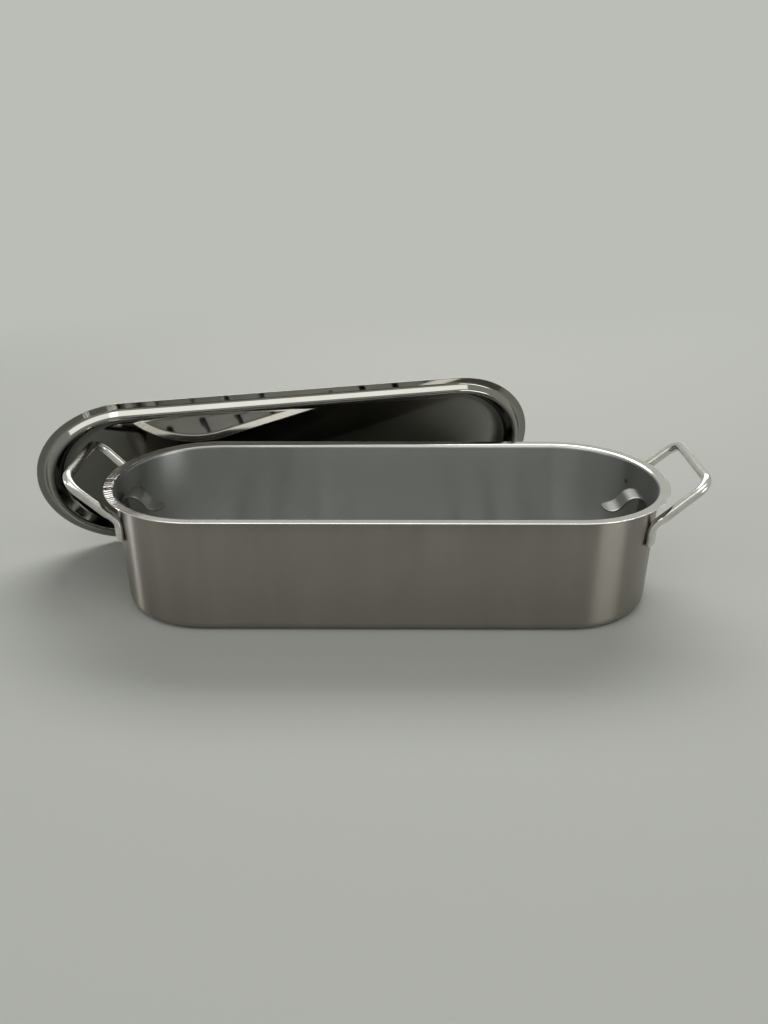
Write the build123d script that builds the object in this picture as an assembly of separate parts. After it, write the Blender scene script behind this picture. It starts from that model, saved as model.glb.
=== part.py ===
from build123d import *
import math
import os

# Fish kettle: an oblong pan, a lift-out rack and a lid, in stainless sheet and bent rod.
# Millimetres, +Z up, +X along the kettle. The origin is the centre of the pan's base.
# Pan, rack and lid share one plan: a straight middle with half-round ends.

# Plan
end_centre = 184.0

# Pan
pan_sheet = 1.0
pan_height = 128.0
rim_radius = 106.0
pan_wall_top_radius = 95.5
pan_wall_foot_radius = 92.7
pan_base_bend = 11.0
pan_rim_bend = 3.5

# Bent rod handles: round rod, flattened where it is welded on
rod_diameter = 9.6
rod_bend = 16.0
rod_flat_width = 14.0
rod_flat_thickness = 6.0
rod_flat_corner = 2.6
flat_to_crease = 8.0
crease_to_round = 13.0

# Side handles, alike but for how far their feet stand apart and how high they are
right_foot_angle = 35.5
left_foot_angle = 30.5
right_crease_height = 100.8
left_crease_height = 101.8
side_foot_length = 19.5
side_grip_reach = 314.5
side_grip_half_length = 54.3
side_grip_rise = 46.0
foot_overlap = 0.3

# Rack
rack_sheet = 1.2
rack_edge_radius = 78.0
rack_top = 16.0
rack_gap_below = 0.3
rack_edge_bend = 2.5
rack_shift = -3.5
slot_width = 8.5
slot_pitch = 44.0
slot_count_each_side = 5
slot_inner_end = 9.0
slot_edge_margin = 12.0

# Rack lifters: flat strip, bent up and over like an S
strip_thickness = 1.5
strip_width = 24.4
strip_foot_corner = 9.0
strip_tip_radius = 12.6
strip_foot_inner = 238.0
strip_foot_bend_at = 262.0
strip_arch_outer = 273.35
strip_arch_inner = 255.2
strip_arch_height = 111.0
strip_trough = (242.0, 94.2)
strip_tip = (229.0, 96.4)
strip_bends = (3.5, 10.2, 11.4, 16.0)

# Rivets through each lifter's foot and the rack
rivet_at = 249.0
rivet_spacing = 12.0
rivet_shank_radius = 1.7
rivet_head_radius = 3.2
rivet_head_height = 1.5

# Lid
lid_sheet = 0.8
lid_edge_radius = 103.0
lid_ridge_foot_radius = 94.4
lid_ridge_crest_radius = 87.2
lid_ridge_corner_depth = 10.6
lid_crown_radius = 75.0
lid_crown_height = 14.2
lid_bends = (18.0, 3.6, 3.6)

# Lid handle
lid_grip_half_length = 48.0
lid_grip_height = 40.0
lid_crease_reach = 66.0
lid_foot_reach = 88.0

# Lid at rest: on its long edge behind the pan, leaning forward onto the rim
lid_lean = 20.3
lid_turn = 14.3
lid_centre_x = -107.4
lid_centre_y = 126.0
lid_edge_clearance = 0.2


def parallel(points, distance):
    """The run of points moved to its left by distance, with mitred corners."""
    headings = []
    for (x0, z0), (x1, z1) in zip(points, points[1:]):
        headings.append(math.atan2(z1 - z0, x1 - x0))
    moved = []
    for index, (x, z) in enumerate(points):
        before = headings[max(index - 1, 0)]
        after = headings[min(index, len(headings) - 1)]
        half_turn = math.remainder(after - before, 2 * math.pi) / 2
        middle = before + half_turn + math.pi / 2
        reach = distance / math.cos(half_turn)
        moved.append((x + reach * math.cos(middle), z + reach * math.sin(middle)))
    return moved


def bent_sheet(points, bends, thickness, round_last=False):
    """Section of a bent sheet in the plane of Y and Z, from its centre line and centre-line bends."""
    half = thickness / 2
    turns = []
    for (x0, z0), (x1, z1), (x2, z2) in zip(points, points[1:], points[2:]):
        turns.append((x1 - x0) * (z2 - z1) - (z1 - z0) * (x2 - x1))
    sides = []
    for distance in (half, -half):
        radii = [bend - math.copysign(distance, turn * distance) for bend, turn in zip(bends, turns)]
        outline = [(0, y, z) for y, z in parallel(points, distance)]
        sides.append(FilletPolyline(*outline, radius=radii))
    left, right = sides
    start = Line(left @ 0, right @ 0)
    if round_last:
        (x0, z0), (x1, z1) = points[-2:]
        run = math.hypot(x1 - x0, z1 - z0)
        tip = (0, x1 + half * (x1 - x0) / run, z1 + half * (z1 - z0) / run)
        finish = ThreePointArc(left @ 1, tip, right @ 1)
    else:
        finish = Line(left @ 1, right @ 1)
    return make_face(left.edges() + right.edges() + [start.edge(), finish.edge()])


def oblong(section):
    """Body with a straight middle and half-round ends from a section that starts on the Z axis."""
    end = revolve(Pos(end_centre, 0, 0) * section, Axis((end_centre, 0, 0), (0, 0, -1)), 180)
    side = extrude(Pos(-end_centre, 0, 0) * section, amount=2 * end_centre, dir=(1, 0, 0))
    half = end + side
    return half + Rot(0, 0, 180) * half


def kettle_pan():
    middle = pan_sheet / 2
    points = [
        (0, middle),
        (pan_wall_foot_radius - middle, middle),
        (pan_wall_top_radius - middle, pan_height - middle),
        (rim_radius - middle, pan_height - middle),
    ]
    bends = (pan_base_bend - middle, pan_rim_bend)
    return oblong(bent_sheet(points, bends, pan_sheet, round_last=True))


def rod_section(plane, width, thickness, corner=None):
    """Closed eight-edge section: a flattened rod with rounded corners, or a full round if no corner."""
    if corner is None:
        radius = width / 2
        spots = []
        for centre in (0, 90, 180, 270):
            for step in (-22.5, 0, 22.5, 45):
                angle = math.radians(centre + step)
                spots.append((radius * math.cos(angle), radius * math.sin(angle)))
    else:
        wide = width / 2
        thick = thickness / 2
        bow = corner * math.sqrt(0.5)
        spots = [
            (wide, corner - thick), (wide, 0), (wide, thick - corner),
            (wide - corner + bow, thick - corner + bow),
            (wide - corner, thick), (0, thick), (corner - wide, thick),
            (corner - wide - bow, thick - corner + bow),
            (-wide, thick - corner), (-wide, 0), (-wide, corner - thick),
            (corner - wide - bow, corner - thick - bow),
            (corner - wide, -thick), (0, -thick), (wide - corner, -thick),
            (wide - corner + bow, corner - thick - bow),
        ]
    edges = []
    for index in range(0, len(spots), 2):
        first, through, last = (spots[(index + step) % len(spots)] for step in range(3))
        straight = corner is not None and index % 4 == 0
        edges.append(Line(first, last).edge() if straight else ThreePointArc(first, through, last).edge())
    return plane * make_face(edges)


def rod_foot(foot_end, crease, corner, width_dir):
    """Flattened foot and its change to round rod. Returns the solid and the start of the round rod."""
    foot_dir = (crease - foot_end).normalized()
    leg_dir = (corner - crease).normalized()
    bisector = (foot_dir + leg_dir).normalized()
    foot_top = crease - foot_dir * flat_to_crease
    round_start = crease + leg_dir * crease_to_round
    bend_middle = crease * 0.7 + (foot_top + round_start) * 0.15

    foot_plane = Plane(origin=foot_end, x_dir=width_dir, z_dir=foot_dir)
    flat = rod_section(foot_plane, rod_flat_width, rod_flat_thickness, rod_flat_corner)
    foot = extrude(flat, amount=(foot_top - foot_end).length, dir=foot_dir)

    top_plane = Plane(origin=foot_top, x_dir=width_dir, z_dir=foot_dir)
    middle_plane = Plane(origin=bend_middle, x_dir=width_dir, z_dir=bisector)
    round_plane = Plane(origin=round_start, x_dir=width_dir, z_dir=leg_dir)
    mean_width = (rod_flat_width + rod_diameter) / 2
    mean_thickness = (rod_flat_thickness + rod_diameter) / 2
    stages = [
        rod_section(top_plane, rod_flat_width, rod_flat_thickness, rod_flat_corner),
        rod_section(middle_plane, mean_width, mean_thickness, mean_thickness * 0.46),
        rod_section(round_plane, rod_diameter, rod_diameter),
    ]
    return foot + loft(stages), round_plane


def rod_handle(foot_end, crease, corner, width_dir, mirror_plane, mirrored):
    """Handle bent from one rod: two flattened feet, two legs and a straight grip."""
    foot, round_plane = rod_foot(foot_end, crease, corner, width_dir)
    start = round_plane.origin
    path = FilletPolyline(start, corner, mirrored(corner), mirrored(start), radius=rod_bend)
    rod = sweep(round_plane * Circle(rod_diameter / 2), path=path)
    return rod + foot + mirror(foot, about=mirror_plane)


def side_handle(foot_angle, crease_height):
    """Handle at the +X end, its feet pressed slightly into the round end of the wall."""
    angle = math.radians(foot_angle)
    share = crease_height / pan_height
    wall_radius = pan_wall_foot_radius + share * (pan_wall_top_radius - pan_wall_foot_radius)
    foot_radius = wall_radius + rod_flat_thickness / 2 - foot_overlap
    foot_x = end_centre + foot_radius * math.cos(angle)
    foot_y = foot_radius * math.sin(angle)
    return rod_handle(
        Vector(foot_x, foot_y, crease_height - side_foot_length),
        Vector(foot_x, foot_y, crease_height),
        Vector(side_grip_reach, side_grip_half_length, crease_height + side_grip_rise),
        Vector(-math.sin(angle), math.cos(angle), 0),
        Plane.XZ,
        lambda point: Vector(point.X, -point.Y, point.Z),
    )


def slot_positions():
    """Centres and lengths of the rack's cross slots, shorter towards the round ends."""
    slots = []
    for index in range(-slot_count_each_side, slot_count_each_side + 1):
        x = index * slot_pitch
        past_centre = max(abs(x) + slot_width / 2 - end_centre, 0)
        half_width = math.sqrt(rack_edge_radius ** 2 - past_centre ** 2)
        outer_end = half_width - slot_edge_margin
        for side in (-1, 1):
            slots.append((x, side * (outer_end + slot_inner_end) / 2, outer_end - slot_inner_end))
    return slots


def rack_plate():
    middle = rack_sheet / 2
    edge_bottom = pan_sheet + rack_gap_below
    points = [
        (0, rack_top - middle),
        (rack_edge_radius - middle, rack_top - middle),
        (rack_edge_radius - middle, edge_bottom),
    ]
    plate = oblong(bent_sheet(points, (rack_edge_bend,), rack_sheet))
    for x, y, length in slot_positions():
        slot = Rot(0, 0, 90) * SlotOverall(length, slot_width)
        plate -= Pos(x, y, rack_top - 2 * rack_sheet) * extrude(slot, amount=3 * rack_sheet)
    return plate


def lifter():
    """Strip at the +X end: foot on the rack, leg up, arch over and down, round tip turned up a little."""
    middle = strip_thickness / 2
    points = [
        (strip_foot_inner, rack_top + middle),
        (strip_foot_bend_at, rack_top + middle),
        (strip_arch_outer, strip_arch_height),
        (strip_arch_inner, strip_arch_height),
        strip_trough,
        strip_tip,
    ]
    section = Rot(0, 0, -90) * bent_sheet(points, strip_bends, strip_thickness)
    strip = extrude(Pos(0, strip_width / 2, 0) * section, amount=strip_width, dir=(0, -1, 0))
    foot_corners = [
        edge
        for edge in strip.edges()
        if abs(edge.center().X - strip_foot_inner) < 0.01 and abs(edge.length - strip_thickness) < 0.01
    ]
    tip_x, tip_z = strip_tip
    past_tip = (tip_x - strip_thickness, 0, tip_z)
    tip_block = Pos(past_tip) * Box(
        strip_tip_radius, 2 * strip_width, strip_width, align=(Align.MIN, Align.CENTER, Align.CENTER))
    tip_round = Pos(tip_x + strip_tip_radius, 0, tip_z) * Cylinder(strip_tip_radius, 2 * strip_width)
    return fillet(foot_corners, strip_foot_corner) - (tip_block - tip_round)


def rivet():
    """Round-headed rivet with its underhead on the XY plane, through the strip and the rack sheet."""
    grip = strip_thickness + rack_sheet
    shank = Pos(0, 0, -grip) * Cylinder(rivet_shank_radius, grip, align=(Align.CENTER, Align.CENTER, Align.MIN))
    ball_radius = (rivet_head_radius ** 2 + rivet_head_height ** 2) / (2 * rivet_head_height)
    ball = Pos(0, 0, rivet_head_height - ball_radius) * Sphere(ball_radius)
    cap_box = Box(8 * rivet_head_radius, 8 * rivet_head_radius, 2 * ball_radius,
                  align=(Align.CENTER, Align.CENTER, Align.MIN))
    head = ball & cap_box
    return head + shank + Pos(0, 0, -grip) * Rot(180, 0, 0) * head


def rivet_pair():
    near = Pos(rivet_at, -rivet_spacing / 2, rack_top + strip_thickness) * rivet()
    return near + mirror(near, about=Plane.XZ)


def lid_shell():
    """Lid as it lies closed, with the underside of its flange on the XY plane."""
    middle = lid_sheet / 2
    points = [
        (0, lid_crown_height + middle),
        (lid_crown_radius, lid_crown_height + middle),
        (lid_ridge_crest_radius, middle - lid_ridge_corner_depth),
        (lid_ridge_foot_radius, middle),
        (lid_edge_radius - middle, middle),
    ]
    return oblong(bent_sheet(points, lid_bends, lid_sheet, round_last=True))


def lid_handle():
    """Handle on the closed lid's crown, its flattened feet pointing outward."""
    crown = lid_crown_height + lid_sheet
    foot_height = crown + rod_flat_thickness / 2
    return rod_handle(
        Vector(lid_foot_reach, 0, foot_height),
        Vector(lid_crease_reach, 0, foot_height),
        Vector(lid_grip_half_length, 0, crown + lid_grip_height),
        Vector(0, 1, 0),
        Plane.YZ,
        lambda point: Vector(-point.X, point.Y, point.Z),
    )


def lid_rest_plane():
    """Plane that carries the closed lid's shape to its place behind the pan, underside to the front."""
    lean = math.radians(lid_lean)
    turn = math.radians(lid_turn)
    along = Vector(math.cos(turn), math.sin(turn), 0)
    back = Vector(-math.sin(turn) * math.cos(lean), math.cos(turn) * math.cos(lean), math.sin(lean))
    height = lid_edge_radius * math.cos(lean) + lid_edge_clearance
    return Plane(origin=(lid_centre_x, lid_centre_y, height), x_dir=along, z_dir=back)


def build_nodes():
    turned = Rot(0, 0, 180)
    in_pan = Pos(rack_shift, 0, 0)
    in_pan_turned = Pos(rack_shift, 0, 0) * turned
    at_rest = lid_rest_plane()

    pan = kettle_pan()
    right_handle = side_handle(right_foot_angle, right_crease_height)
    left_handle = turned * side_handle(left_foot_angle, left_crease_height)
    right_rivets = rivet_pair()
    right_lifter = lifter() - right_rivets
    plate = rack_plate() - right_rivets - turned * right_rivets
    lid = lid_shell()
    return {
        "kettle_pan": pan,
        "side_handle_right": right_handle - pan,
        "side_handle_left": left_handle - pan,
        "rack_plate": in_pan * plate,
        "rack_lifter_right": in_pan * right_lifter,
        "rack_lifter_left": in_pan_turned * right_lifter,
        "rack_rivets_right": in_pan * right_rivets,
        "rack_rivets_left": in_pan_turned * right_rivets,
        "lid_shell": at_rest * lid,
        "lid_handle": at_rest * (lid_handle() - lid),
    }


if __name__ == "__main__":
    os.makedirs("parts", exist_ok=True)
    for node, shape in build_nodes().items():
        export_step(shape, f"parts/{node}.step")
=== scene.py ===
import math

import bmesh
import bpy
from bpy.props import FloatProperty, FloatVectorProperty, PointerProperty
from mathutils import Matrix, Quaternion, Vector


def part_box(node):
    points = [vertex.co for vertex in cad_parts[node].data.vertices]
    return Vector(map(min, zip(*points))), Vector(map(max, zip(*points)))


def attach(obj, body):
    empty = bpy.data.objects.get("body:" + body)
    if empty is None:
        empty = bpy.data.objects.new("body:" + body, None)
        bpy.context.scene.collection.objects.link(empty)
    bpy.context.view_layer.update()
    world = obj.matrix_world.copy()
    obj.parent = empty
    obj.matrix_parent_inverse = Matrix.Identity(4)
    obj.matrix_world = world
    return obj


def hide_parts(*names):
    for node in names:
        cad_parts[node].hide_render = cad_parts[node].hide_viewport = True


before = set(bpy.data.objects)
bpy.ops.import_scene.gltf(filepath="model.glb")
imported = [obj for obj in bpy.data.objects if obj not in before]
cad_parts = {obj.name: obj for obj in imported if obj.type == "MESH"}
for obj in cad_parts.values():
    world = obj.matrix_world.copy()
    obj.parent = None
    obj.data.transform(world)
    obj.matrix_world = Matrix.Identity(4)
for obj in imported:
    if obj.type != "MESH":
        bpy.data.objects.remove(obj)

bl_info = {
    "name": "Fish kettle",
    "version": (1, 0, 0),
    "blender": (4, 5, 0),
    "location": "View3D > Sidebar > Fish kettle",
    "description": "Pressed shells, polished rods and finishes of an oblong fish kettle",
    "category": "Object",
}

MM = 0.001

# Fineness of the shells: steps along their section, round its edge, and round and along their plan.
# A short step at both ends of each straight keeps its shading flat beside the arcs.
SHELL_ARC_STEP = math.radians(7)
LONGEST_STEP = 9 * MM
SHORT_STEP = 0.15 * MM
SHORTEST_STRAIGHT = 3 * MM
EDGE_STEPS = 6
HALF_ROUND_STEPS = 96
SIDE_STEPS = 40

# Fineness of the lifters' strips, along and across, and of the floor's turn up into the backdrop
STRIP_ARC_STEP = math.radians(4)
STRIP_CELLS = (260, 12)
TURN_UP_STEPS = 24

# Points nearer than this are merged, and points nearer than this to the middle line are on it
MERGE_DISTANCE = 1e-6
ON_MIDDLE_LINE = 1e-5

# Marks of the handles' welds inside the pan: place and radius
WELD_MARKS = (
    ((262.6 * MM, 51.5 * MM, 103.0 * MM), 3.5 * MM),
    ((-268.4 * MM, 41.0 * MM, 95.7 * MM), 4.5 * MM),
)

# Noise scales on the unrolled sheet, in waves to the metre round the plan and along the section
HAIR = (5, 260, 0)
WRINKLES = (520, 4, 0)

# Where the flange's wrinkles start to fade and where they are gone, from the pan's left end
WRINKLES_FADE = (14 * MM, 34 * MM)

# Least roughness of satin steel, and the turn of a highlight from along U to across it
SATIN = 0.285
ACROSS_GRAIN = 0.25

# As a light, the air dims between these two heights on a unit sphere, to this share of its pale colour
AIR_FADE = (0.08, 0.42)
AIR_DIM = 0.15

# Sizes that the frame gives: the pan's rim and height, and so the plan that all three oblongs share
pan_low, pan_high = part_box("kettle_pan")
RIM_RADIUS = (pan_high.y - pan_low.y) / 2
PAN_HEIGHT = pan_high.z
END_CENTRE = (pan_high.x - pan_low.x) / 2 - RIM_RADIUS


def length(name, description, metres):
    return FloatProperty(
        name=name, description=description, default=metres, unit="LENGTH", precision=5)


def angle(name, description, degrees):
    return FloatProperty(
        name=name, description=description, default=math.radians(degrees), subtype="ANGLE")


def colour(name, description, rgb):
    return FloatVectorProperty(
        name=name, description=description, default=rgb, subtype="COLOR", min=0, max=1)


class PanSizes(bpy.types.PropertyGroup):
    sheet: length("Sheet", "Thickness of the pan's sheet", 1.0 * MM)
    wall_inset: length("Wall inset", "From the rim's edge in to the wall, at the top", 10.5 * MM)
    taper: length("Taper", "How much the wall draws in from top to foot", 2.8 * MM)
    base_bend: length("Base bend", "Outer radius between wall and base", 11.0 * MM)
    rim_bend: length("Rim bend", "Centre-line radius between wall and flange", 3.5 * MM)


class LifterSizes(bpy.types.PropertyGroup):
    thickness: length("Thickness", "Thickness of the strip", 1.5 * MM)
    width: length("Width", "Width of the strip", 24.4 * MM)
    foot_corner: length("Foot corner", "Radius of the two corners of the foot", 9.0 * MM)
    tip_radius: length("Tip radius", "Radius of the round tip", 12.15 * MM)
    cut_bevel: length("Cut edge", "Width of the softened cut edges", 0.3 * MM)
    foot_inner: length("Foot", "Inner end of the foot, from the rack's middle", 238.0 * MM)
    foot_bend: length("Foot bend", "Where the strip turns up, from the rack's middle", 262.0 * MM)
    arch_outer: length("Arch, outside", "Outer corner of the arch, from the rack's middle", 273.35 * MM)
    arch_inner: length("Arch, inside", "Inner corner of the arch, from the rack's middle", 255.2 * MM)
    arch_height: length("Arch height", "Centre-line height of the arch", 111.0 * MM)
    trough: FloatVectorProperty(
        name="Trough", description="Corner below the arch, out from the middle and up", size=2,
        default=(242.0 * MM, 94.2 * MM), unit="LENGTH")
    tip: FloatVectorProperty(
        name="Tip", description="End of the turned-up tip, out from the middle and up", size=2,
        default=(229.1 * MM, 96.4 * MM), unit="LENGTH")
    bends: FloatVectorProperty(
        name="Bends", description="Centre-line radii from foot to tip", size=4,
        default=(3.5 * MM, 10.2 * MM, 11.4 * MM, 16.0 * MM), unit="LENGTH")


class LidSizes(bpy.types.PropertyGroup):
    sheet: length("Sheet", "Thickness of the lid's sheet", 0.8 * MM)
    edge_radius: length("Edge radius", "Half the lid's width", 103.0 * MM)
    ridge_foot_radius: length("Ridge foot", "Where the flange turns down into the ridge", 94.4 * MM)
    ridge_crest_radius: length("Ridge crest", "Where the ridge turns up into the crown", 87.2 * MM)
    ridge_depth: length("Ridge depth", "Depth of the ridge's corner below the flange", 10.6 * MM)
    crown_radius: length("Crown radius", "Half the width of the raised crown", 75.0 * MM)
    crown_height: length("Crown height", "Height of the crown above the flange", 14.2 * MM)
    crown_bend: length("Crown bend", "Radius round the crown", 18.0 * MM)
    ridge_bend: length("Ridge bend", "Radius of the ridge's crest and foot", 3.6 * MM)
    lean: angle("Lean", "Lean of the resting lid from upright, towards the pan", 20.3)
    turn: angle("Turn", "Turn of the resting lid about the upright axis", 14.3)
    centre_x: length("Centre X", "Place of the resting lid's centre along the kettle", -107.4 * MM)
    centre_y: length("Centre Y", "Place of the resting lid's centre behind the pan", 126.0 * MM)
    clearance: length("Clearance", "Gap under the resting lid's edge", 0.2 * MM)


class Finishes(bpy.types.PropertyGroup):
    # The pan's outside colour is darkened and warmed well below the inside's steel: a painted dark,
    # brownish reflection on the outer wall.
    pan: colour("Pan", "Satin steel of the pan", (0.31, 0.29, 0.258))
    pan_inside: colour("Pan inside", "Duller satin steel inside the pan", (0.47, 0.48, 0.465))
    # The flange's colour is far lighter than the rest of the same sheet: a painted highlight where its
    # flat top catches the light from behind the pan.
    flange: colour("Flange", "Brighter steel on top of the pan's flange", (0.80, 0.78, 0.74))
    rod: colour("Rods", "Polished steel of the rod handles", (0.70, 0.69, 0.65))
    rack: colour("Rack", "Satin steel of the rack and its lifters", (0.30, 0.30, 0.283))
    rivet: colour("Rivets", "Plain steel of the rivets", (0.42, 0.42, 0.40))
    # The underside's colour is about half the outer face's, though both are one sheet: a painted dark
    # reflection in its mirror.
    lid: colour("Lid", "Mirror steel of the lid's underside", (0.32, 0.315, 0.29))
    lid_outer: colour("Lid outside", "Mirror steel of the lid's outer face", (0.62, 0.61, 0.59))
    floor: colour("Floor", "Pale studio floor and backdrop", (0.50, 0.51, 0.475))


class StageSizes(bpy.types.PropertyGroup):
    camera_place: FloatVectorProperty(
        name="Camera", description="Place of the camera",
        default=(0.0015, -0.8566, 0.4992), subtype="TRANSLATION")
    camera_pitch: angle("Pitch", "How far the camera looks down", 25.571)
    camera_turn: angle("Turn", "How far the camera looks to the left", 0.277)
    lens: FloatProperty(
        name="Lens", description="Focal length for a sensor 36 mm on its long side", default=31.69,
        unit="CAMERA")
    floor_reach: length("Floor", "From the middle to the floor's edges", 9.0)
    sweep_start: length("Sweep start", "Where the floor turns up into the backdrop", 2.2)
    sweep_radius: length("Sweep radius", "Radius of the turn up into the backdrop", 1.0)
    sweep_height: length("Sweep height", "Height of the backdrop above the turn", 1.4)
    fade_start: length("Fade start", "Where the floor starts to fade into the pale air", 0.7)
    fade_end: length("Fade end", "Where the floor has faded into the pale air", 1.6)


def finishes():
    return bpy.context.scene.kettle_finishes


def only(parts, kind):
    return [part for part in parts if isinstance(part, kind)]


def spun(bm, edges, centre, axis, angle, steps):
    """Spins the edges about the axis. Returns the last ones."""
    turned = bmesh.ops.spin(
        bm, geom=edges, cent=centre, axis=axis, angle=angle, steps=steps)
    return only(turned["geom_last"], bmesh.types.BMEdge)


def extruded(bm, edges, move):
    """Extrudes the edges by the move. Returns the new ones."""
    grown = bmesh.ops.extrude_edge_only(bm, edges=edges)["geom"]
    bmesh.ops.translate(bm, verts=only(grown, bmesh.types.BMVert), vec=move)
    return only(grown, bmesh.types.BMEdge)


def object_from(name, bm, *materials):
    """Object at the origin that holds the shape and its finishes."""
    mesh = bpy.data.meshes.new(name)
    bm.to_mesh(mesh)
    bm.free()
    for material in materials:
        mesh.materials.append(material)
    made = bpy.data.objects.new(name, mesh)
    bpy.context.scene.collection.objects.link(made)
    return made


def corner_rounded(points, radii, arc_step):
    """The run of (x, z) points with its corners on arcs, as (x, z, heading)."""
    headings = [math.atan2(z1 - z0, x1 - x0) for (x0, z0), (x1, z1) in zip(points, points[1:])]
    line = [(*points[0], headings[0])]
    for (x, z), radius, before, after in zip(points[1:], radii, headings, headings[1:]):
        turn = math.remainder(after - before, 2 * math.pi)
        back = radius * math.tan(abs(turn) / 2)
        start = Vector((x - back * math.cos(before), z - back * math.sin(before)))
        side = math.copysign(math.pi / 2, turn)
        centre = start + radius * Vector((math.cos(before + side), math.sin(before + side)))
        steps = max(2, math.ceil(abs(turn) / arc_step))
        for step in range(steps + 1):
            heading = before + turn * step / steps
            spot = centre - radius * Vector((math.cos(heading + side), math.sin(heading + side)))
            line.append((spot.x, spot.y, heading))
    line.append((*points[-1], headings[-1]))
    return line


def stepped(line):
    """The line with its straights cut into even steps, and a short step at both their ends."""
    made = [line[0]]
    for (x0, z0, _), (x1, z1, heading) in zip(line, line[1:]):
        run = math.hypot(x1 - x0, z1 - z0)
        pieces = max(1, math.ceil(run / LONGEST_STEP))
        shares = {piece / pieces for piece in range(1, pieces + 1)}
        if run > SHORTEST_STRAIGHT:
            shares |= {SHORT_STEP / run, 1 - SHORT_STEP / run}
        for share in sorted(shares):
            made.append((x0 + (x1 - x0) * share, z0 + (z1 - z0) * share, heading))
    return made


def sheet_outline(points, radii, thickness):
    """Outline of a bent sheet, out along one face and back along the other, and its tip's index."""
    line = stepped(corner_rounded(points, radii, SHELL_ARC_STEP))
    half = thickness / 2

    def beside(x, z, heading, distance):
        return x - distance * math.sin(heading), z + distance * math.cos(heading)

    x, z, heading = line[-1]
    edge = []
    for step in range(1, EDGE_STEPS):
        around = math.pi * step / EDGE_STEPS
        ahead = half * math.sin(around)
        out, up = beside(x, z, heading, half * math.cos(around))
        edge.append((out + ahead * math.cos(heading), up + ahead * math.sin(heading)))
    over = [beside(*spot, half) for spot in line]
    under = [beside(*spot, -half) for spot in reversed(line)]
    return over + edge + under, len(over) + len(edge) // 2


def sweep_oblong(bm, edges):
    """Carries a section round the plan: a half turn at each end and a straight run after it."""
    for centre_x, way in ((END_CENTRE, -1), (-END_CENTRE, 1)):
        edges = spun(bm, edges, (centre_x, 0, 0), (0, 0, 1), math.pi, HALF_ROUND_STEPS)
        for _ in range(SIDE_STEPS):
            edges = extruded(bm, edges, (way * 2 * END_CENTRE / SIDE_STEPS, 0, 0))


def distance_round(x, y, radius):
    """Distance from the middle of the front round the oblong to a point, on a wall of that radius."""
    if abs(x) <= END_CENTRE:
        return x if y < 0 else 2 * END_CENTRE + math.pi * radius - x
    turned = math.atan2(y, abs(x) - END_CENTRE) + math.pi / 2
    if x > 0:
        return END_CENTRE + radius * turned
    return 3 * END_CENTRE + 2 * math.pi * radius - radius * turned


def unroll(bm, along, radius):
    """UV map in metres: U round the oblong, V along the section."""
    whole = 4 * END_CENTRE + 2 * math.pi * radius
    sheet_map = bm.loops.layers.uv.new("unrolled")
    for face in bm.faces:
        middle = face.calc_center_median()
        here = distance_round(middle.x, middle.y, radius)
        for loop in face.loops:
            spot = loop.vert.co
            u = distance_round(spot.x, spot.y, radius)
            if math.hypot(max(abs(spot.x) - END_CENTRE, 0), spot.y) < ON_MIDDLE_LINE:
                u = here
            u += whole * round((here - u) / whole)
            loop[sheet_map].uv = (u, loop.vert[along])


def pressed_shell(name, points, radii, thickness, finish_over, finish_under):
    """An oblong pressed from sheet: its two faces have a finish each."""
    outline, tip = sheet_outline(points, radii, thickness)
    bm = bmesh.new()
    along = bm.verts.layers.float.new("along")
    walked = 0.0
    spots = []
    for index, (out, up) in enumerate(outline):
        if index:
            walked += math.dist(outline[index - 1], (out, up))
        spot = bm.verts.new((END_CENTRE, -out, up))
        spot[along] = walked
        spots.append(spot)
    edges = [bm.edges.new(pair) for pair in zip(spots, spots[1:])]
    turn_over = spots[tip][along]
    sweep_oblong(bm, edges)
    for face in bm.faces:
        middle = sum(vert[along] for vert in face.verts) / len(face.verts)
        face.material_index = 0 if middle < turn_over else 1
        face.smooth = True
    bmesh.ops.remove_doubles(bm, verts=bm.verts, dist=MERGE_DISTANCE)
    bmesh.ops.recalc_face_normals(bm, faces=bm.faces)
    unroll(bm, along, max(out for out, up in outline))
    return object_from(name, bm, finish_over, finish_under)


def darker(rgb, share):
    return tuple(part * share for part in rgb)


class Nodes:
    """The node tree of a material or world under construction."""

    def __init__(self, owner):
        owner.use_nodes = True
        self.tree = owner.node_tree

    def node(self, kind, **settings):
        made = self.tree.nodes.new("ShaderNode" + kind)
        for name, value in settings.items():
            setattr(made, name, value)
        return made

    def link(self, output, socket):
        self.tree.links.new(output, socket)

    def place(self, source, output="Vector"):
        """A set of texture coordinates, or one of X, Y and Z of them."""
        where = self.node("TexCoord").outputs[source]
        if output == "Vector":
            return where
        parts = self.node("SeparateXYZ")
        self.link(where, parts.inputs["Vector"])
        return parts.outputs[output]

    def spread(self, value, low, high, least=0.3, most=0.7, **settings):
        """Carries values from least to most over to the range from low to high."""
        made = self.node("MapRange", **settings)
        made.inputs["From Min"].default_value = least
        made.inputs["From Max"].default_value = most
        made.inputs["To Min"].default_value = low
        made.inputs["To Max"].default_value = high
        self.link(value, made.inputs["Value"])
        return made.outputs["Result"]

    def combine(self, operation, first, second):
        """Result of a sum, product or the like of two values, each an output or a number."""
        made = self.node("Math", operation=operation)
        for value, socket in zip((first, second), made.inputs):
            if isinstance(value, bpy.types.NodeSocket):
                self.link(value, socket)
            else:
                socket.default_value = value
        return made.outputs["Value"]

    def blend(self, factor, near, far):
        """Colour that goes from near to far by factor."""
        made = self.node("Mix", data_type="RGBA")
        made.inputs["A"].default_value = (*near, 1)
        made.inputs["B"].default_value = (*far, 1)
        self.link(factor, made.inputs["Factor"])
        return made.outputs["Result"]

    def seen(self):
        """1 for what the camera sees, straight or in steel, and 0 for what only lights a surface."""
        path = self.node("LightPath")
        total = path.outputs["Is Camera Ray"]
        for kind in ("Is Glossy Ray", "Is Transmission Ray"):
            total = self.combine("MAXIMUM", total, path.outputs[kind])
        return total


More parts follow.
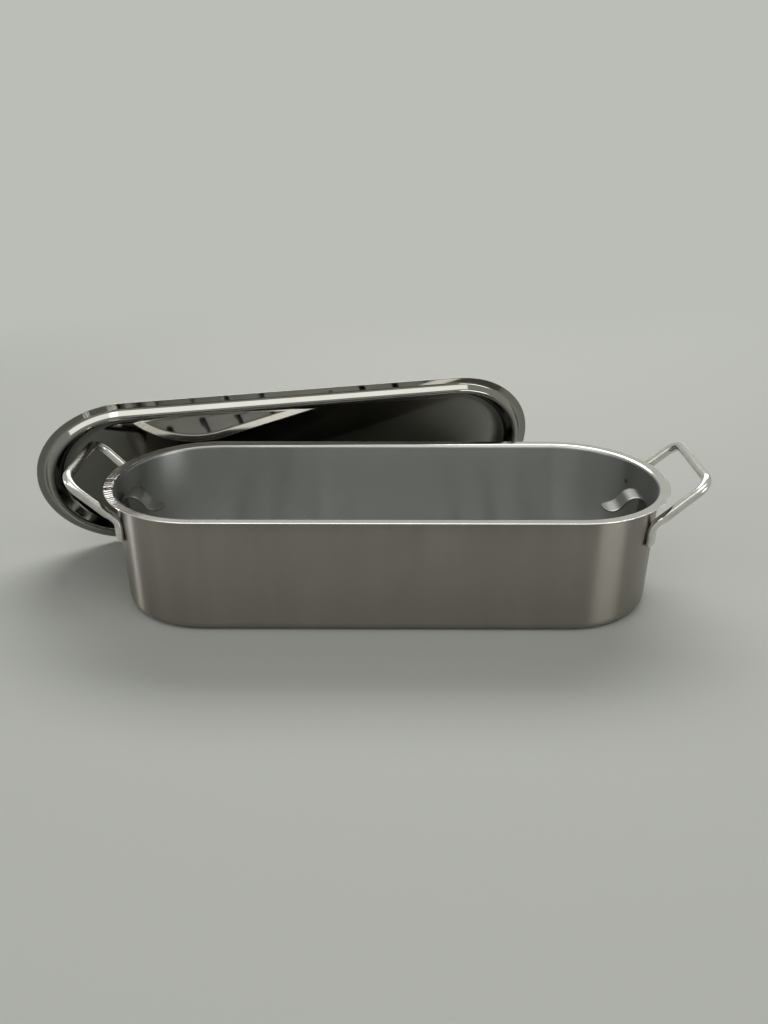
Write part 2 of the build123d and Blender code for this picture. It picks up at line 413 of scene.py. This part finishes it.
class Finish(Nodes):
    """A metal finish under construction: its material, nodes and shader."""

    def __init__(self, name, rgb):
        self.material = bpy.data.materials.new(name)
        super().__init__(self.material)
        self.shader = self.tree.nodes["Principled BSDF"]
        self.shader.inputs["Metallic"].default_value = 1.0
        self.rgb = rgb

    def noise(self, source, scale, detail, distortion=0.0):
        """Noise on the piece's own space or its UV map, with scale in waves to the metre."""
        mapping = self.node("Mapping")
        mapping.inputs["Scale"].default_value = scale
        self.link(self.place(source), mapping.inputs["Vector"])
        made = self.node("TexNoise")
        made.inputs["Scale"].default_value = 1.0
        made.inputs["Detail"].default_value = detail
        made.inputs["Distortion"].default_value = distortion
        self.link(mapping.outputs["Vector"], made.inputs["Vector"])
        return made.outputs["Fac"]

    def total(self, *shares):
        """Sum of noises, each given with the low and high numbers that it is spread between."""
        total = self.spread(*shares[0])
        for share in shares[1:]:
            total = self.combine("ADD", total, self.spread(*share))
        return total

    def roughen(self, *shares):
        self.link(self.total(*shares), self.shader.inputs["Roughness"])

    def tint(self, factor, share):
        """Darkens the colour to that share of itself by factor."""
        blended = self.blend(factor, self.rgb, darker(self.rgb, share))
        self.link(blended, self.shader.inputs["Base Color"])

    def bump(self, *heights):
        """Chains (height, depth in metres) pairs into the shader's normal."""
        normal = None
        for height, depth in heights:
            made = self.node("Bump")
            made.inputs["Distance"].default_value = depth
            self.link(height, made.inputs["Height"])
            if normal is not None:
                self.link(normal, made.inputs["Normal"])
            normal = made.outputs["Normal"]
        self.link(normal, self.shader.inputs["Normal"])

    def stretch_highlights(self, amount):
        """Highlights stretch across the grain, which runs along U."""
        self.shader.inputs["Anisotropic"].default_value = amount
        self.shader.inputs["Anisotropic Rotation"].default_value = ACROSS_GRAIN
        direction = self.node("Tangent", direction_type="UV_MAP", uv_map="unrolled")
        self.link(direction.outputs["Tangent"], self.shader.inputs["Tangent"])

    def left_end_wrinkles(self):
        """Fine wrinkles across the flange where it was drawn round the left end."""
        end = -END_CENTRE - RIM_RADIUS
        fade_start, fade_end = WRINKLES_FADE
        at_end = self.spread(self.place("Object", "X"), 1.0, 0.0, end + fade_start, end + fade_end)
        wrinkles = self.noise("UV", WRINKLES, detail=1)
        return self.combine("MULTIPLY", at_end, self.spread(wrinkles, 0.0, 1.0, 0.5, 0.7))

    def spot(self, centre, radius):
        """1 at a place on the piece, fading to 0 at the radius."""
        mapping = self.node("Mapping")
        mapping.inputs["Location"].default_value = tuple(-part / radius for part in centre)
        mapping.inputs["Scale"].default_value = (1 / radius, 1 / radius, 1 / radius)
        self.link(self.place("Object"), mapping.inputs["Vector"])
        ball = self.node("TexGradient", gradient_type="SPHERICAL")
        self.link(mapping.outputs["Vector"], ball.inputs["Vector"])
        return self.spread(ball.outputs["Fac"], 0.0, 1.0, 0.0, 0.6)


def pan_outside_steel_painted_reflection():
    # Base colour is the darkened, warmed pan colour: a painted dark reflection over the satin steel.
    finish = Finish("pan_outside_steel_painted_reflection", finishes().pan)
    hair = finish.noise("UV", HAIR, detail=2)
    bands = finish.noise("UV", (1.5, 40, 0), detail=3)
    smudge = finish.noise("Object", (16, 16, 16), detail=4, distortion=0.6)
    waves = finish.noise("UV", (11, 2, 0), detail=1)
    streaks = finish.noise("UV", (34, 3, 0), detail=3)
    finish.roughen((hair, 0.0, 0.01), (bands, SATIN, 0.305), (smudge, 0.0, 0.03))
    finish.tint(finish.total((smudge, 0.0, 0.4), (streaks, 0.0, 0.5)), 0.82)
    finish.bump((waves, 0.4 * MM))
    finish.stretch_highlights(0.95)
    return finish.material


def pan_inside_steel():
    finish = Finish("pan_inside_steel", finishes().pan_inside)
    hair = finish.noise("UV", HAIR, detail=2)
    bands = finish.noise("UV", (24, 2, 0), detail=2)
    smudge = finish.noise("Object", (12, 12, 12), detail=4, distortion=0.8)
    waves = finish.noise("UV", (16, 2, 0), detail=1.5)
    finish.roughen((hair, 0.0, 0.01), (bands, SATIN, 0.33), (smudge, 0.0, 0.04))
    marks = finish.spread(smudge, 0.0, 0.12)
    for centre, radius in WELD_MARKS:
        marks = finish.combine("ADD", marks, finish.spot(centre, radius))
    finish.tint(marks, 0.45)
    finish.bump((waves, 0.5 * MM))
    finish.stretch_highlights(0.8)
    return finish.material


def pan_flange_steel_painted_highlight():
    # Base colour is the light flange colour: a painted highlight on the same steel as the wall.
    finish = Finish("pan_flange_steel_painted_highlight", finishes().flange)
    hair = finish.noise("UV", HAIR, detail=2)
    smudge = finish.noise("Object", (24, 24, 24), detail=4, distortion=0.8)
    waves = finish.noise("UV", (16, 2, 0), detail=1.5)
    finish.roughen((hair, 0.0, 0.02), (smudge, 0.08, 0.13))
    finish.tint(finish.spread(smudge, 0.0, 1.0), 0.9)
    finish.bump((waves, 0.5 * MM), (finish.left_end_wrinkles(), 0.2 * MM))
    return finish.material


def lid_mirror_steel(name, rgb, scratches):
    finish = Finish(name, rgb)
    hair = finish.noise("UV", (30, 1500, 0), detail=2)
    smudge = finish.noise("Object", (22, 22, 22), detail=5, distortion=1.0)
    waves = finish.noise("Object", (9, 9, 9), detail=1)
    finish.roughen((hair, 0.0, scratches), (smudge, 0.03, 0.07))
    finish.tint(finish.spread(smudge, 0.0, 1.0), 0.94)
    finish.bump((waves, 0.4 * MM))
    return finish.material


def rod_steel():
    finish = Finish("rod_polished_steel", finishes().rod)
    wear = finish.noise("Object", (90, 90, 90), detail=4)
    fine = finish.noise("Object", (900, 900, 2600), detail=2)
    finish.roughen((wear, 0.16, 0.21), (fine, 0.0, 0.02))
    finish.tint(finish.spread(wear, 0.0, 1.0), 0.85)
    finish.bump((wear, 0.06 * MM), (fine, 0.003 * MM))
    return finish.material


def rack_steel(name, rgb, grain_scale, least_rough=SATIN):
    finish = Finish(name, rgb)
    grain = finish.noise("Object", grain_scale, detail=3)
    smudge = finish.noise("Object", (20, 20, 20), detail=4)
    finish.roughen((grain, least_rough, least_rough + 0.055), (smudge, 0.0, 0.05))
    finish.tint(finish.total((smudge, 0.0, 0.6), (grain, 0.0, 0.4)), 0.86)
    return finish.material


def dress(node, material):
    """Gives a CAD piece its finish."""
    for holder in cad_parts[node].material_slots:
        holder.material = material


class KETTLE_OT_pan(bpy.types.Operator):
    """Press the pan: wall, rounded base edge and rim flange in one sheet"""
    bl_idname = "fish_kettle.pan"
    bl_label = "Pan"

    def execute(self, context):
        sizes = context.scene.kettle_pan_sizes
        half = sizes.sheet / 2
        wall_top = RIM_RADIUS - sizes.wall_inset
        points = [
            (0, half),
            (wall_top - sizes.taper - half, half),
            (wall_top - half, PAN_HEIGHT - half),
            (RIM_RADIUS - half, PAN_HEIGHT - half),
        ]
        bends = (sizes.base_bend - half, sizes.rim_bend)
        # The outer face gets the darkened finish, a painted dark reflection; the inner face gets the
        # plain steel.
        pan = pressed_shell("pan", points, bends, sizes.sheet, pan_inside_steel(), pan_outside_steel_painted_reflection())
        # Faces on top of the flange get the lighter finish: a painted highlight.
        flange_highlight_finish = len(pan.data.materials)
        pan.data.materials.append(pan_flange_steel_painted_highlight())
        for face in pan.data.polygons:
            if face.center.z > PAN_HEIGHT - sizes.sheet:
                face.material_index = flange_highlight_finish
        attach(pan, "kettle")
        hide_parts("kettle_pan")
        return {"FINISHED"}


class KETTLE_OT_lid(bpy.types.Operator):
    """Press the lid and lean it behind the pan, with its underside to the front"""
    bl_idname = "fish_kettle.lid"
    bl_label = "Lid"

    def execute(self, context):
        sizes = context.scene.kettle_lid_sizes
        half = sizes.sheet / 2
        points = [
            (0, sizes.crown_height + half),
            (sizes.crown_radius, sizes.crown_height + half),
            (sizes.ridge_crest_radius, half - sizes.ridge_depth),
            (sizes.ridge_foot_radius, half),
            (sizes.edge_radius - half, half),
        ]
        bends = (sizes.crown_bend, sizes.ridge_bend, sizes.ridge_bend)
        outer = lid_mirror_steel("lid_outer_steel", finishes().lid_outer, scratches=0.06)
        # The underside gets the darker lid colour: a painted dark reflection.
        under = lid_mirror_steel("lid_under_steel_painted_reflection", finishes().lid, scratches=0.03)
        lid = pressed_shell("lid", points, bends, sizes.sheet, outer, under)
        lid.data.transform(resting_place(sizes))
        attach(lid, "lid")
        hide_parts("lid_shell")
        return {"FINISHED"}


def resting_place(sizes):
    """Carries the closed lid's shape to where it leans."""
    along = Vector((math.cos(sizes.turn), math.sin(sizes.turn), 0))
    back = Vector((
        -math.sin(sizes.turn) * math.cos(sizes.lean),
        math.cos(sizes.turn) * math.cos(sizes.lean),
        math.sin(sizes.lean),
    ))
    down = back.cross(along)
    height = sizes.edge_radius * math.cos(sizes.lean) + sizes.clearance
    place = Matrix((along, down, back)).transposed().to_4x4()
    place.translation = (sizes.centre_x, sizes.centre_y, height)
    return place


class KETTLE_OT_rods(bpy.types.Operator):
    """Polish the bent rod handles of the pan and the lid"""
    bl_idname = "fish_kettle.rods"
    bl_label = "Rod handles"

    def execute(self, context):
        steel = rod_steel()
        for node in ("side_handle_right", "side_handle_left", "lid_handle"):
            dress(node, steel)
        return {"FINISHED"}


def along_line(line, walked):
    """Point on a line of (x, z, heading) spots, that far from its start."""
    for (x0, z0, _), (x1, z1, _) in zip(line, line[1:]):
        run = math.hypot(x1 - x0, z1 - z0)
        if walked <= run:
            return x0 + (x1 - x0) * walked / run, z0 + (z1 - z0) * walked / run
        walked -= run
    return line[-1][:2]


def end_inset(from_end, radius):
    """How far a rounded end's side lies in from the strip's side, that far from the end."""
    past = max(radius - from_end, 0)
    return radius - math.sqrt(max(radius ** 2 - past ** 2, 0))


def bent_strip(name, sizes, rack_top, finish_face, finish_cut):
    """Strip at the +X end: a flat grid with rounded ends, laid along the bent line and thickened."""
    foot = rack_top + sizes.thickness / 2
    points = [
        (sizes.foot_inner, foot),
        (sizes.foot_bend, foot),
        (sizes.arch_outer, sizes.arch_height),
        (sizes.arch_inner, sizes.arch_height),
        tuple(sizes.trough),
        tuple(sizes.tip),
    ]
    line = corner_rounded(points, sizes.bends, STRIP_ARC_STEP)
    whole = sum(math.dist(a[:2], b[:2]) for a, b in zip(line, line[1:]))
    cells_along, cells_across = STRIP_CELLS
    bm = bmesh.new()
    bmesh.ops.create_grid(bm, x_segments=cells_along, y_segments=cells_across, size=0.5)
    strip_map = bm.loops.layers.uv.new("unrolled")
    for face in bm.faces:
        face.smooth = True
        for loop in face.loops:
            loop[strip_map].uv = ((loop.vert.co.x + 0.5) * whole, loop.vert.co.y * sizes.width)
    for vert in bm.verts:
        walked = (vert.co.x + 0.5) * whole
        corner = end_inset(walked, sizes.foot_corner) + end_inset(whole - walked, sizes.tip_radius)
        out, up = along_line(line, walked)
        vert.co = (out, vert.co.y * (sizes.width - 2 * corner), up)
    bmesh.ops.remove_doubles(bm, verts=bm.verts, dist=MERGE_DISTANCE)
    bmesh.ops.recalc_face_normals(bm, faces=bm.faces)
    strip = object_from(name, bm, finish_face, finish_cut)
    thicken = strip.modifiers.new("thickness", "SOLIDIFY")
    thicken.thickness = sizes.thickness
    thicken.offset = 0
    thicken.material_offset_rim = 1
    soften = strip.modifiers.new("cut_edges", "BEVEL")
    soften.width = sizes.cut_bevel
    soften.segments = 2
    soften.limit_method = "ANGLE"
    soften.angle_limit = math.radians(50)
    return strip


class KETTLE_OT_rack(bpy.types.Operator):
    """Bend the strip lifters and finish the rack plate and its rivets"""
    bl_idname = "fish_kettle.rack"
    bl_label = "Rack"

    def execute(self, context):
        sizes = context.scene.kettle_lifter_sizes
        rack_low, rack_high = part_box("rack_plate")
        middle = (rack_low.x + rack_high.x) / 2
        plate = rack_steel("rack_plate_steel", finishes().rack, (12, 400, 400), least_rough=0.36)
        face = rack_steel("lifter_strip_steel", finishes().rack, (60, 500, 60))
        cut = rack_steel("lifter_cut_steel", finishes().rack, (300, 300, 300))
        head = rack_steel("rivet_head_steel", finishes().rivet, (300, 300, 300))
        dress("rack_plate", plate)
        for end, half_turns in (("right", 0), ("left", 1)):
            strip = bent_strip("lifter_" + end, sizes, rack_high.z, face, cut)
            place = Matrix.Translation((middle, 0, 0)) @ Matrix.Rotation(half_turns * math.pi, 4, "Z")
            strip.data.transform(place)
            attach(strip, "rack")
            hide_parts("rack_lifter_" + end)
            dress("rack_rivets_" + end, head)
        return {"FINISHED"}


def stage_paint(sizes):
    """Matt paint. Where it is seen it fades into the pale air, out past the lit floor and its shadow."""
    material = bpy.data.materials.new("stage_paint")
    paint = Nodes(material)
    nodes = paint.tree.nodes
    matt = nodes["Principled BSDF"]
    matt.inputs["Base Color"].default_value = (*finishes().floor, 1)
    matt.inputs["Roughness"].default_value = 0.85
    matt.inputs["Specular IOR Level"].default_value = 0.2
    pale = paint.node("Emission")
    pale.inputs["Color"].default_value = (*finishes().floor, 1)
    reach = paint.node("VectorMath", operation="LENGTH")
    paint.link(paint.place("Object"), reach.inputs[0])
    far = paint.spread(
        reach.outputs["Value"], 0.0, 1.0, sizes.fade_start, sizes.fade_end,
        interpolation_type="SMOOTHSTEP")
    both = paint.node("MixShader")
    paint.link(paint.combine("MULTIPLY", far, paint.seen()), both.inputs["Fac"])
    paint.link(matt.outputs["BSDF"], both.inputs[1])
    paint.link(pale.outputs["Emission"], both.inputs[2])
    paint.link(both.outputs["Shader"], nodes["Material Output"].inputs["Surface"])
    return material


def stage_floor(sizes):
    """Floor with a round turn up into the backdrop, far enough back to walk round the object."""
    reach = sizes.floor_reach
    bm = bmesh.new()
    front = [bm.verts.new((side * reach, -reach, 0)) for side in (-1, 1)]
    edges = extruded(bm, [bm.edges.new(front)], (0, reach + sizes.sweep_start, 0))
    sweep_centre = (0, sizes.sweep_start, sizes.sweep_radius)
    edges = spun(bm, edges, sweep_centre, (1, 0, 0), math.pi / 2, TURN_UP_STEPS)
    extruded(bm, edges, (0, 0, sizes.sweep_height))
    for face in bm.faces:
        face.smooth = True
    object_from("stage_floor", bm, stage_paint(sizes))


def studio_air():
    """Pale where it is seen. As a light on the floor it is pale near the horizon and dim higher up."""
    world = bpy.data.worlds.new("studio_air")
    air = Nodes(world)
    high = air.spread(
        air.place("Generated", "Z"), 0.0, 1.0, *AIR_FADE, interpolation_type="SMOOTHSTEP")
    dim = air.combine("MULTIPLY", high, air.combine("SUBTRACT", 1.0, air.seen()))
    pale = finishes().floor
    air.link(air.blend(dim, pale, darker(pale, AIR_DIM)), air.tree.nodes["Background"].inputs["Color"])
    return world


def softbox(name, place, target, size, watts, roll=0.0):
    """Area lamp aimed at the target, rolled about its own axis by the angle in degrees."""
    lamp = bpy.data.lights.new(name, "AREA")
    lamp.shape = "RECTANGLE"
    lamp.size, lamp.size_y = size
    lamp.energy = watts
    box = bpy.data.objects.new(name, lamp)
    box.location = place
    aim = (Vector(target) - Vector(place)).to_track_quat("-Z", "Y")
    box.rotation_euler = (aim @ Quaternion((0, 0, 1), math.radians(roll))).to_euler()
    box.visible_camera = False
    bpy.context.scene.collection.objects.link(box)


def studio_lamps():
    softbox(
        "back_softbox", (0.2, 1.40, 1.82), target=(0, 0.1, 0), size=(2.4, 1.0), watts=36)
    softbox(
        "overhead_softbox", (-0.3, 0.5, 2.2), target=(0, 0, 0), size=(1.6, 1.0), watts=3)
    softbox(
        "front_softbox", (0.42, -1.05, 1.60), target=(-0.107, 0.126, 0.1), size=(2.2, 0.55), watts=7.2)
    softbox(
        "left_softbox", (-1.08, -0.99, 1.12), target=(-0.31, 0.045, 0.175), size=(1.83, 0.35),
        watts=3.6, roll=39.4)
    softbox(
        "high_front_softbox", (-0.2, -0.62, 1.75), target=(-0.2, 0.05, 0.13), size=(1.3, 0.4), watts=3.2)
    softbox(
        "right_strip", (1.55, -1.13, 0.24), target=(0, 0, 0.1), size=(1.0, 0.4), watts=6.5)
    softbox(
        "right_edge_strip", (0.84, 1.37, 0.2), target=(0.27, 0, 0.07), size=(0.3, 0.4), watts=0.35)
    softbox(
        "left_strip", (-1.88, 0.15, 0.11), target=(-0.2, 0, 0.1), size=(0.12, 0.2), watts=4.4)


def front_camera(sizes):
    lens = bpy.data.cameras.new("front_camera")
    lens.lens = sizes.lens
    lens.sensor_width = 36
    camera = bpy.data.objects.new("front_camera", lens)
    camera.location = sizes.camera_place
    camera.rotation_euler = (math.pi / 2 - sizes.camera_pitch, 0, sizes.camera_turn)
    bpy.context.scene.collection.objects.link(camera)
    return camera


class KETTLE_OT_stage(bpy.types.Operator):
    """Set up the pale floor, the soft lights and the camera"""
    bl_idname = "fish_kettle.stage"
    bl_label = "Stage"

    def execute(self, context):
        sizes = context.scene.kettle_stage_sizes
        stage_floor(sizes)
        studio_lamps()
        context.scene.world = studio_air()
        context.scene.camera = front_camera(sizes)
        context.scene.view_settings.view_transform = "Standard"
        return {"FINISHED"}


OPERATORS = (KETTLE_OT_pan, KETTLE_OT_lid, KETTLE_OT_rods, KETTLE_OT_rack, KETTLE_OT_stage)
GROUPS = {
    "kettle_pan_sizes": PanSizes,
    "kettle_lifter_sizes": LifterSizes,
    "kettle_lid_sizes": LidSizes,
    "kettle_finishes": Finishes,
    "kettle_stage_sizes": StageSizes,
}


class KETTLE_PT_panel(bpy.types.Panel):
    """Lists the pieces of the fish kettle"""
    bl_idname = "KETTLE_PT_panel"
    bl_label = "Fish kettle"
    bl_space_type = "VIEW_3D"
    bl_region_type = "UI"
    bl_category = "Fish kettle"

    def draw(self, context):
        for group in GROUPS:
            box = self.layout.box()
            for name in getattr(context.scene, group).bl_rna.properties.keys():
                if name not in ("rna_type", "name"):
                    box.prop(getattr(context.scene, group), name)
        for operator in OPERATORS:
            self.layout.operator(operator.bl_idname)


def register():
    for group, kind in GROUPS.items():
        bpy.utils.register_class(kind)
        setattr(bpy.types.Scene, group, PointerProperty(type=kind))
    for operator in OPERATORS:
        bpy.utils.register_class(operator)
    bpy.utils.register_class(KETTLE_PT_panel)


def unregister():
    bpy.utils.unregister_class(KETTLE_PT_panel)
    for operator in reversed(OPERATORS):
        bpy.utils.unregister_class(operator)
    for group, kind in reversed(GROUPS.items()):
        delattr(bpy.types.Scene, group)
        bpy.utils.unregister_class(kind)


def main():
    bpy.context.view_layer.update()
    register()
    for step in ("pan", "lid", "rods", "rack", "stage"):
        getattr(bpy.ops.fish_kettle, step)()


if __name__ == "__main__":
    main()
